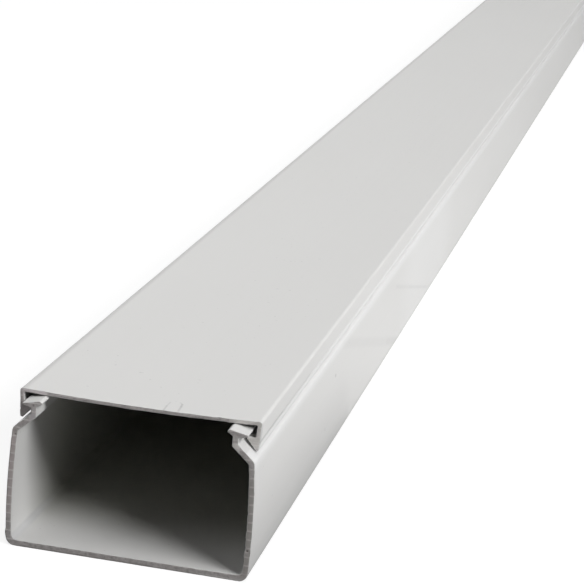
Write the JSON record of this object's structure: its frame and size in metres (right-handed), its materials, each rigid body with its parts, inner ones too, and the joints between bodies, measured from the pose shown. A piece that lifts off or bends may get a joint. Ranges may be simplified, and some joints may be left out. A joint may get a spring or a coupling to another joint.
{
  "type": "cord cover raceway",
  "caption": "Surface raceway that holds cords along a wall: an open channel with lips, and a clip-on cover that closes it.",
  "frame": {"origin": "middle of the channel's flat back, halfway along the channel", "axes": "+Y along the raceway, +Z from the flat back up to the cover, +X across it"},
  "size_m": [0.04, 1.003, 0.0254],
  "materials": {
    "channel_pvc": "extruded rigid PVC, pale grey-white satin, saw-cut ends",
    "cover_pvc": "extruded rigid PVC, pale grey-white satin, saw-cut ends"
  },
  "bodies": {
    "channel": {"base_channel": "channel_pvc"},
    "cover": {"clip_cover": "cover_pvc"}
  },
  "joints": [
    {"name": "cover_slide", "type": "slide", "parent": "channel", "child": "cover", "axis": [0, 1, 0], "range_m": [-0.003, 0.947]}
  ]
}
